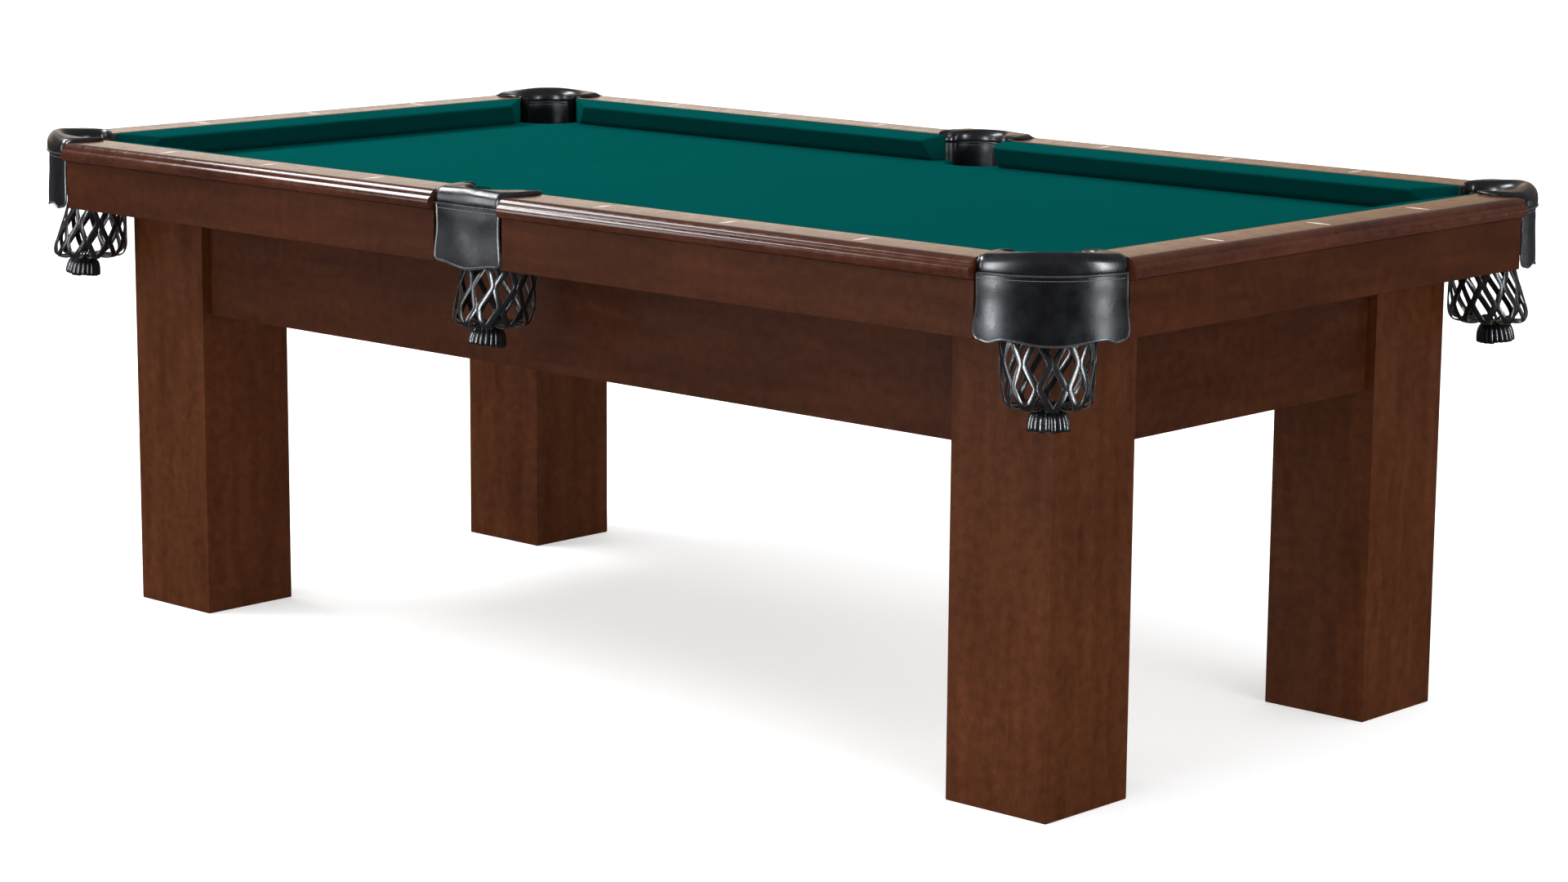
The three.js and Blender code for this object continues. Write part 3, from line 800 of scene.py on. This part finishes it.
EAR_OUTER = 144.0
MOUTH = {"corner": 54.0, "side": 62.0}
TIP = {"corner": 67.0, "side": 63.0}
TURN = {"corner": 77.5, "side": 68.0}
WALL_OUT, WALL_IN = 0.5, 2.9
SEAT = RAIL_TOP + 0.3
LINER_TOP = 795.5
ROLL_PROUD = 2.0
END_DROP = 6.0
MIDDLE_DROP = {"corner": 0.0, "side": 4.5}
CORNER_ARM = (54.0, 60.0, 66.0, 68.0, 72.0, 77.5)
SIDE_ARM = [(72.1, 62.0), (72.1, 63.5), (72.1, 66.0), (71.3, 70.0), (68.6, 72.8),
            (64.5, 74.4), (60.0, 75.1), (56.0, 75.6)]


def bezier(a, b, c, t):
    return a * (1 - t) ** 2 + b * 2 * t * (1 - t) + c * t * t


def ear_point(kind, along, o):
    """A point on the right-hand ear: along runs back over the rail from the rail's end."""
    if kind == "corner":
        return Vector(((along + o) * math.sqrt(0.5), (o - along) * math.sqrt(0.5), 0))
    return Vector((SIDE_HALF + along, o, 0))


def outward(kind, p):
    """How far a plan point lies outwards from the nose line of the nearest cushion."""
    return (p.x + p.y) * math.sqrt(0.5) if kind == "corner" else p.y


def lip_bottom(kind, p):
    """Height of the collar's lower edge inside the throat; it rises towards the mouth."""
    return mix(805.5, 796.0, smooth(outward(kind, p), TIP[kind] + 0.5, TIP[kind] + 9.0))


def throat_point(kind, angle, inward, z=0.0):
    """A point on the throat's round wall, moved inwards by a given distance."""
    spec = POCKETS[kind]
    return polar(spec["radius"] - inward, angle, z, y=spec["centre"])


def throat_path(kind):
    """Plan of the throat's wall: down the right rail's end, then round to the middle."""
    if kind == "corner":
        arm = [ear_point(kind, -WALL_IN, o) for o in CORNER_ARM]
        start = 0.02
    else:
        arm = [Vector((x, o, 0)) for x, o in SIDE_ARM]
        start = 0.10
    return arm, [throat_point(kind, mix(start, math.pi / 2, i / 24), 0.0) for i in range(25)]


def walked(path, distance):
    """The point that lies a given distance along a plan path."""
    for a, b in zip(path, path[1:]):
        step = (b - a).length
        if distance <= step:
            return a.lerp(b, distance / step)
        distance -= step
    return path[-1]


def collar_lines(kind):
    """Rows of the right half: (outer, inner, corner under an ear, share of roll, crest)."""
    arm, arc = throat_path(kind)
    path = arm + arc
    total = sum((b - a).length for a, b in zip(path, path[1:]))
    tip, turn = TIP[kind] - MOUTH[kind], TURN[kind] - MOUTH[kind]
    rows = []
    for i in range(18):
        t = i / 17
        s = 1 - math.cos(t * math.pi / 2) if t < 0.3 else mix(0.109, 1, (t - 0.3) / 0.7)
        outer = bezier(Vector((-0.6, TIP[kind])), Vector((19, TIP[kind] + 20)),
                       Vector((0, EAR_OUTER)), s)
        inner = walked(path, mix(tip, turn, min(1.0, s * 1.05)))
        o = outward(kind, inner) + 3.0 * smooth(t, 0, 0.5)
        under = ear_point(kind, min(-0.4, outer.x - 0.4), o)
        rows.append((ear_point(kind, *outer), inner, under, 0.55 * smooth(t, 0.5, 1.0) ** 1.5,
                     mix(SEAT + 1.6, COLLAR_TOP - END_DROP, smooth(t, -0.2, 0.8))))
    outer_r = RADIUS + ROLL_PROUD
    for i in range(1, 23):
        t = (i / 22) ** 1.25
        if kind == "corner":
            a = mix(math.pi / 4 + 0.004, math.pi / 2, t)
            r = mix(EAR_OUTER + 1, outer_r, smooth(t, 0, 0.10))
            outer = polar(r, a)
        else:
            o = mix(EAR_OUTER + 1, outer_r, smooth(t, 0, 0.12)) + 1.5 * smooth(t, 0, 1)
            outer = Vector((mix(SIDE_HALF - 0.4, 0, t), o, 0))
        inner = walked(path, mix(turn, total, t))
        crest = COLLAR_TOP - mix(END_DROP, MIDDLE_DROP[kind], smooth(t, 0.0, 0.9))
        rows.append((outer, inner, None, mix(0.55, 1.0, smooth(t, 0.0, 0.12)), crest))
    return rows


# Nine points up to the crest, then eight down into the throat. On an ear: share of the width
# from the nearer side and of the rise or drop. On the roll: distance in and drop below the
# crest. Last: the least share of the roll in a section between the ears.
COLLAR_SECTION = [
    (0.03, 0.0, 3.2, -32.2, 1), (0.004, 0.14, 0.8, -31.4, 1), (0.0, 0.28, 0.0, -27.0, 1),
    (0.012, 0.42, 0.0, -20.5, 1), (0.045, 0.55, 0.8, -14.6, 0.9), (0.1, 0.67, 2.6, -9.4, 0.7),
    (0.19, 0.79, 5.6, -5.0, 0.45), (0.32, 0.92, 9.6, -1.7, 0.2), (0.5, 1.0, 14.2, -0.2, 0),
    (0.4, 0.01, 12.6, -0.9, 0), (0.29, 0.05, 8.8, -3.0, 0.2), (0.19, 0.12, 5.2, -6.4, 0.45),
    (0.11, 0.22, 2.5, -10.8, 0.7), (0.055, 0.36, 0.9, -15.8, 0.9), (0.015, 0.56, 0.1, -21.0, 1),
    (0.0, 0.86, 0.0, -25.0, 1), (0.02, 1.0, 1.2, -27.0, 1),
]


def collar_ring(kind, outer, inner, under, share, crest):
    """One section of the collar: up its outside, over the crest, down into the throat."""
    width = (outer - inner).length
    across = (inner - outer) / width
    lip = lip_bottom(kind, inner)
    reach = (crest - WELT) / (COLLAR_TOP - WELT)
    fit = min(1.0, width / 31.0)
    ring = []
    for k, (f, h, d, drop, full) in enumerate(COLLAR_SECTION):
        if k <= 8:
            ear = Vector((width * f, mix(SEAT, crest, h)))
            roll = Vector((d * fit, crest + drop * reach))
        else:
            ear = Vector((width * (1 - f), mix(crest, lip, h)))
            roll = Vector((width - d * fit, crest + drop / 27.0 * (crest - lip)))
        p = ear.lerp(roll, share if under else max(share, full))
        if under and k <= 8:
            p.y = max(p.y, SEAT if k == 0 else SEAT + 0.4)
        at = outer + across * p.x
        ring.append(Vector((*at.xy, p.y)))
    if under:
        return ring + [Vector((*under.xy, z)) for z in (lip, SEAT)]
    return ring + [ring[16].lerp(ring[0], f) for f in (0.1, 0.2)]


def collar_shape(kind):
    half = [collar_ring(kind, *row) for row in collar_lines(kind)]
    return loft(half + [[Vector((-p.x, p.y, p.z)) for p in ring] for ring in half[-2::-1]])


def hem_height(kind, f, seed):
    """Height of the skirt's lower edge at f from 0 to 1 across it."""
    g = min(f, 1 - f)

    def rounded(high, low, width):
        return mix(high, low, math.sqrt(max(0.0, 1 - (1 - g / width) ** 2)))

    if kind == "side":
        if g < 0.06:
            return rounded(711.0, 704.0, 0.06)
        return mix(704.0, SKIRT_BOTTOM - 0.3, smooth(g, 0.06, 0.5))
    wave = random.Random(seed)
    dip, crest = 700.0 + wave.uniform(-1.5, 1.0), 704.0 + wave.uniform(-0.8, 1.2)
    low = SKIRT_BOTTOM - 0.5 + wave.uniform(0, 0.8)
    if g < 0.045:
        return rounded(714.0, dip + 2.5, 0.045)
    if g < 0.10:
        return mix(dip + 2.5, dip, smooth(g, 0.045, 0.10))
    if g < 0.19:
        return mix(dip, crest, smooth(g, 0.10, 0.19))
    return mix(crest, low, smooth(g, 0.19, 0.47))


def skirt_point(kind, f, z, seed, out=0.0):
    """A point on the skirt's outer face at f across it and height z."""
    down = (WELT - z) / (WELT - SKIRT_BOTTOM)
    flare = 2.6 * smooth(down, 0.35, 0.95) - 1.2 * smooth(down, 0.2, 0.0)
    sway = noise.noise(Vector((f * 3.1, down * 1.6, seed * 7.3))) * 1.5 * smooth(down, 0.05, 0.5)
    edge = 3.4 * smooth(down, -0.3, 0.3) * (1 - smooth(down, 0.40, 0.85))
    if kind == "corner":
        gap = (1.6 + edge) / RADIUS
        a = mix(math.pi / 4 + gap, 3 * math.pi / 4 - gap, f)
        return polar(RADIUS - 0.5 + flare + sway + out, a, z)
    half = SIDE_HALF - 4.5 - edge
    x = mix(half, -half, f)
    o = RADIUS + 3.5 * (1 - (2 * f - 1) ** 2) + 0.6 * flare + 0.7 * sway + out
    return Vector((x, o, z))


def spread(count):
    """Fractions from 0 to 1 that lie closer together near both ends."""
    return [mix(i / count, 0.5 - 0.5 * math.cos(math.pi * i / count), 0.55)
            for i in range(count + 1)]


def skirt_shape(kind, seed):
    across = spread(60 if kind == "corner" else 44)
    rings = []
    for j in range(23):
        line = [(f, mix(WELT, hem_height(kind, f, seed), j / 22)) for f in across]
        rings.append([skirt_point(kind, f, z, seed) for f, z in line]
                     + [skirt_point(kind, f, z, seed, -SKIRT_THICKNESS) for f, z in line[::-1]])
    return loft(rings)


def skirt_edge(kind, seed, out):
    """The line down one side of a skirt, along its lower edge and up the other side."""
    start = hem_height(kind, 0.0, seed)
    levels = [mix(WELT - 1.0, start, i / 16) for i in range(16)]
    path = [skirt_point(kind, 0.0, z, seed, out) for z in levels]
    path += [skirt_point(kind, f, hem_height(kind, f, seed), seed, out) for f in spread(72)]
    return path + [skirt_point(kind, 1.0, z, seed, out) for z in levels[::-1]]


def roll_line(kind, z, out):
    """A line round the outside of the roll at height z."""
    path = []
    for i in range(49):
        t = mix(0.03, 0.97, i / 48)
        if kind == "corner":
            path.append(polar(RADIUS + out, mix(math.pi / 4, 3 * math.pi / 4, t), z))
        else:
            bow = 1.5 * smooth(min(t, 1 - t), 0, 0.5)
            path.append(Vector((mix(SIDE_HALF, -SIDE_HALF, t), RADIUS + out + bow, z)))
    return path


def throat_line(kind, z, inward):
    """A line round the inside of the throat at height z."""
    return [throat_point(kind, mix(0.25, math.pi - 0.25, i / 40), inward, z)
            for i in range(41)]


def liner_line(kind):
    """Plan of the throat's wall from the right mouth round to the left, with its top."""
    arm, arc = throat_path(kind)
    half = [(p, (RAIL_TOP if outward(kind, p) < TIP[kind] else lip_bottom(kind, p)) - 0.4)
            for p in arm]
    half += [(p, LINER_TOP) for p in arc]
    return half + [(Vector((-p.x, p.y, 0)), top) for p, top in half[-2::-1]]


def liner_shape(kind):
    """Leather liner down the throat, with one overlapping flap where its ends meet."""
    line = liner_line(kind)
    rings = []
    for i, (p, top) in enumerate(line):
        before, after = line[max(i - 1, 0)][0], line[min(i + 1, len(line) - 1)][0]
        ahead = (after - before).normalized()
        out = Vector((ahead.y, -ahead.x, 0))
        ring = []
        for f in (0.0, 0.02, 0.35, 0.65, 0.98, 1.0):
            z = mix(LINER_BOTTOM, top, f)
            ease = 0.5 if f in (0.0, 1.0) else 0.0
            ring.append((ease + 0.4 * noise.noise(Vector((i * 0.11, z * 0.03, 4.0))), z))
        ring += [(WALL_IN - WALL_OUT, mix(LINER_BOTTOM, top, f)) for f in (1.0, 0.5, 0.0)]
        rings.append([Vector((*(p + out * away).xy, z)) for away, z in ring])
    wall = loft(rings)
    flap_rings = []
    for i in range(7):
        a = math.pi / 2 + 0.12 + mix(-0.13, 0.13, i / 6)
        stand = 0.5 + 2.0 * smooth(i / 6, 0.2, 1.0)
        levels = (742.0, 750.0, 762.0, 774.0, 784.0 - 2.0 * (i / 6))
        flap_rings.append([throat_point(kind, a, stand, z) for z in levels]
                          + [throat_point(kind, a, stand - 1.6, z) for z in levels[::-1]])
    return joined(wall, loft(flap_rings))


# The basket: (height, half width along the side, half depth outwards, outward shift)
BASKET = [
    (737.0, 60.0, 50.0, 0.0), (716.0, 64.0, 48.5, 3.5), (697.0, 66.0, 49.0, 7.0),
    (680.0, 66.0, 51.0, 9.6), (660.0, 65.0, 54.5, 13.0), (640.0, 63.2, 58.0, 16.4),
    (626.0, 62.2, 60.5, 18.8), (616.0, 61.0, 60.0, 20.4), (609.5, 57.5, 56.8, 21.6),
    (606.8, 51.0, 50.5, 22.2), (606.6, 42.0, 41.8, 23.2), (607.8, 31.0, 31.0, 25.0),
    (607.6, 21.0, 21.0, 27.4), (604.6, 14.0, 14.0, 29.4), (600.5, 11.5, 11.5, 30.0),
]
STRANDS, FLOOR_LOOPS = 20, 7
ROW, FIRST_CROSSING = 31.0, 669.0
STRAP_WIDTH, STRAP_THICKNESS = 9.0, 2.0


def catmull(rows, t):
    """A smooth point on rows of numbers, t from 0 to 1."""
    at = t * (len(rows) - 1)
    i = min(int(at), len(rows) - 2)
    f = at - i
    a, b, c, d = (rows[min(max(i + k, 0), len(rows) - 1)] for k in (-1, 0, 1, 2))
    return [0.5 * (2 * q + (r - p) * f + (2 * p - 5 * q + 4 * r - s) * f * f
                   + (3 * q - p - 3 * r + s) * f ** 3) for p, q, r, s in zip(a, b, c, d)]


def basket_point(kind, angle, t):
    z, wide, deep, shift = catmull(BASKET, t)
    o = POCKETS[kind]["centre"] + shift
    return Vector((wide * math.sin(angle), o + deep * math.cos(angle), z))


def strap(kind, k, seed):
    """One wavy strap of the basket: it leans on one neighbour and then on the other."""
    wave = random.Random(seed * 100 + k)
    even = 2 * math.pi * (k + 0.5) / STRANDS
    sign = 1 if k % 2 else -1
    jitter, drop = wave.uniform(-0.010, 0.010), wave.uniform(-1.0, 1.0)
    steps = 54
    rings = []
    for i in range(steps + 1):
        t = i / steps
        z, wide, deep, _ = catmull(BASKET, t)
        girth = (wide + deep) / 2
        beat = math.cos(math.pi * (z - FIRST_CROSSING + drop) / ROW)
        beat = math.asin(0.965 * beat) / math.asin(0.965)
        free = 2 * math.pi * girth / STRANDS
        wish = max(0.0, (free - STRAP_WIDTH * 0.50) / 2)
        keep = 1 - smooth(t, 0.60, 0.80)
        angle = even + (sign * beat * wish / girth * keep
                        + jitter * smooth(t, 0.1, 0.3) * keep)
        rings.append((basket_point(kind, angle, t), angle, t))
    result = []
    for i, (p, angle, t) in enumerate(rings):
        before, after = rings[max(i - 1, 0)][0], rings[min(i + 1, steps)][0]
        ahead = (after - before).normalized()
        around = basket_point(kind, angle + 0.02, t) - basket_point(kind, angle - 0.02, t)
        meridian = (basket_point(kind, angle, min(1, t + 0.01))
                    - basket_point(kind, angle, max(0, t - 0.01)))
        normal = around.cross(meridian).normalized()
        across = ahead.cross(normal).normalized()
        normal = across.cross(ahead).normalized()
        w = mix(STRAP_WIDTH, 3.8, smooth(t, 0.62, 0.90)) / 2
        h = STRAP_THICKNESS / 2
        centre = p + normal * (0.15 * math.sin(k * 2.1 + t * 9.0))
        up = [(0, 0), (0.1, 0.7 * h), (0.7, h)]
        outline = ([(a - w, b) for a, b in up] + [(0, h * 1.12)]
                   + [(w - a, b) for a, b in up[::-1]] + [(w - a, -b) for a, b in up[1:]]
                   + [(a - w, -b) for a, b in up[:0:-1]])
        result.append([centre + across * a + normal * b for a, b in outline])
    return loft(result)


def floor_loops(kind, seed):
    """Curled strap loops that tie the basket's floor to the tassel."""
    wave = random.Random(seed * 31 + 5)
    shapes = []
    for k in range(FLOOR_LOOPS):
        turn = 2 * math.pi * (k + 0.3 * wave.random()) / FLOOR_LOOPS
        reach, height = wave.uniform(17, 23), wave.uniform(5.0, 8.0)
        sway = wave.uniform(0.16, 0.26)
        path = []
        for i in range(15):
            s = i / 14
            a = turn + sway * math.sin(2 * math.pi * s) * 1.4
            r = 11 + reach * math.sin(math.pi * s)
            z = 603.5 + height * (0.5 - 0.5 * math.cos(2 * math.pi * s)) - 3.2 * s
            o = POCKETS[kind]["centre"] + NET_LEAN + 8 * (1 - math.sin(math.pi * s) * 0.4)
            path.append(Vector((r * math.sin(a), o + r * math.cos(a), z)))
        shapes.append(tube(path, 1.9, squash=0.62))
    return joined(*shapes)


def net_shape(kind, seed):
    """The basket's shape, and for each face whether it is grain side (0) or cut edge (1)."""
    straps = [strap(kind, k, seed) for k in range(STRANDS)]
    rim = [basket_point(kind, 2 * math.pi * i / 40, 0.012) for i in range(40)]
    rest = joined(tube(rim, 2.6, cyclic=True), floor_loops(kind, seed))
    picks = []
    for _, faces in straps:
        picks += [int(q % 11 in (0, 5, 6, 10)) for q in range(len(faces) - 2)] + [0, 0]
    return joined(*straps, rest), picks + [0] * len(rest[1])


def tassel_shape(kind, seed):
    """A short pleated bell of gathered strap ends under the basket."""
    wave = random.Random(seed * 17 + 3)
    pleats, per = 20, 8
    around = pleats * per
    depth = [wave.uniform(0.75, 1.15) for _ in range(pleats)]
    ends = [wave.uniform(-1.6, 1.0) for _ in range(pleats)]
    top = NET_BOTTOM - 0.5
    # (height below the top, radius, pleat depth)
    skin = [(0.0, 11.5, 0.2), (1.8, 16.5, 0.5), (3.8, 20.5, 1.0), (6.5, 23.6, 1.6),
            (10.0, 25.6, 2.1), (15.0, 27.2, 2.5), (20.5, 28.3, 2.8), (26.5, 28.9, 3.0),
            (30.5, 29.0, 3.0), (31.8, 28.2, 2.7)]
    inner = [(31.8, 25.2, 2.0), (29.0, 24.0, 1.7), (20.0, 22.6, 1.3), (12.0, 20.0, 0.9),
             (7.0, 14.0, 0.5), (5.0, 7.0, 0.2)]
    rings = []
    for drop, radius, pleat in skin + inner:
        ring = []
        for i in range(around):
            which, part = divmod(i, per)
            a = 2 * math.pi * i / around
            fold = abs(math.sin(math.pi * part / per)) ** 0.6
            r = radius + pleat * depth[which] * (fold - 0.75)
            z = top - drop - ends[which] * smooth(drop, 18, 31)
            ring.append(Vector((r * math.sin(a), r * math.cos(a), z)))
        rings.append(ring)
    points, faces = loft(rings)
    tilt = Matrix.Rotation(math.radians(wave.uniform(4, 9)), 4, "X")
    pivot = Vector((0, 0, top))
    shift = Vector((0, POCKETS[kind]["centre"] + NET_LEAN + 8.0, 0))
    moved = [tilt @ (p - pivot) + pivot + shift for p in points]
    return [Vector((p.x, p.y, max(p.z, TASSEL_BOTTOM))) for p in moved], faces


def add_pockets():
    names = [f"{w}_{s}" for w in ("front", "back") for s in ("left", "middle", "right")]
    for seed, name in enumerate(names, 1):
        add_pocket(name, kind_of(name), seed)


def add_pocket(name, kind, seed):
    spec = POCKETS[kind]
    place = pocket_matrix(name)

    def part(label, shape, mats, replaced=None, **more):
        stands_for = [f"pocket_{replaced}_{name}"] if replaced else ()
        return piece(f"pocket_{label}_{name}", shape, mats, "pocket_leather", place,
                     stands_for, **more)

    roll = part("roll", collar_shape(kind), [ROLL_LEATHER], "collar", sharp=75.0)
    part("liner", liner_shape(kind), [LINER_LEATHER], "collar", sharp=50.0)
    skirt = part("apron", skirt_shape(kind, seed), [SKIRT_LEATHER], "skirt", sharp=50.0)
    hem = part("hem", tube(skirt_edge(kind, seed, -0.9), spec["hem"]), [EDGE_HIGHLIGHT_LEATHER])
    piping = tube(roll_line(kind, WELT + 0.6, 1.4), 1.7)
    inner = tube(throat_line(kind, LINER_TOP, -0.2), 1.3)
    part("piping", joined(piping, inner), [EDGE_HIGHLIGHT_LEATHER])
    seam = [skirt_point(kind, mix(0.012, 0.988, i / 60), WELT - 6.0, seed, 0.15)
            for i in range(61)]
    inside = throat_line(kind, LINER_TOP - 5.0, 0.2)
    part("stitching", joined(stitches(seam, 0.55), stitches(inside, 0.5)),
         [THREAD])
    net, picks = net_shape(kind, seed)
    part("basket", net, [STRAP_LEATHER, CUT_EDGE_HIGHLIGHT_LEATHER], "net", sharp=60.0, picks=picks)
    part("bell", tassel_shape(kind, seed), [STRAP_LEATHER], "tassel", sharp=60.0)


# ---- floor ----


def add_floor():
    mat = finished(material("pale_floor")[0], {
        "Base Color": (0.80, 0.80, 0.80, 1), "Roughness": 0.9, "Specular IOR Level": 0.0,
        "Emission Color": (1.0, 1.0, 1.0, 1), "Emission Strength": 0.42,
    })
    half = 40000
    corners = [(-half, -half, 0), (half, -half, 0), (half, half, 0), (-half, half, 0)]
    floor = mesh("floor", (corners, [[0, 1, 2, 3]]), [mat])
    floor.visible_glossy = False


add_camera()
add_world()
add_lights()
dress_base()
add_rails()
add_bed_cloth()
add_pockets()
add_floor()
bpy.context.scene.view_settings.view_transform = "Standard"
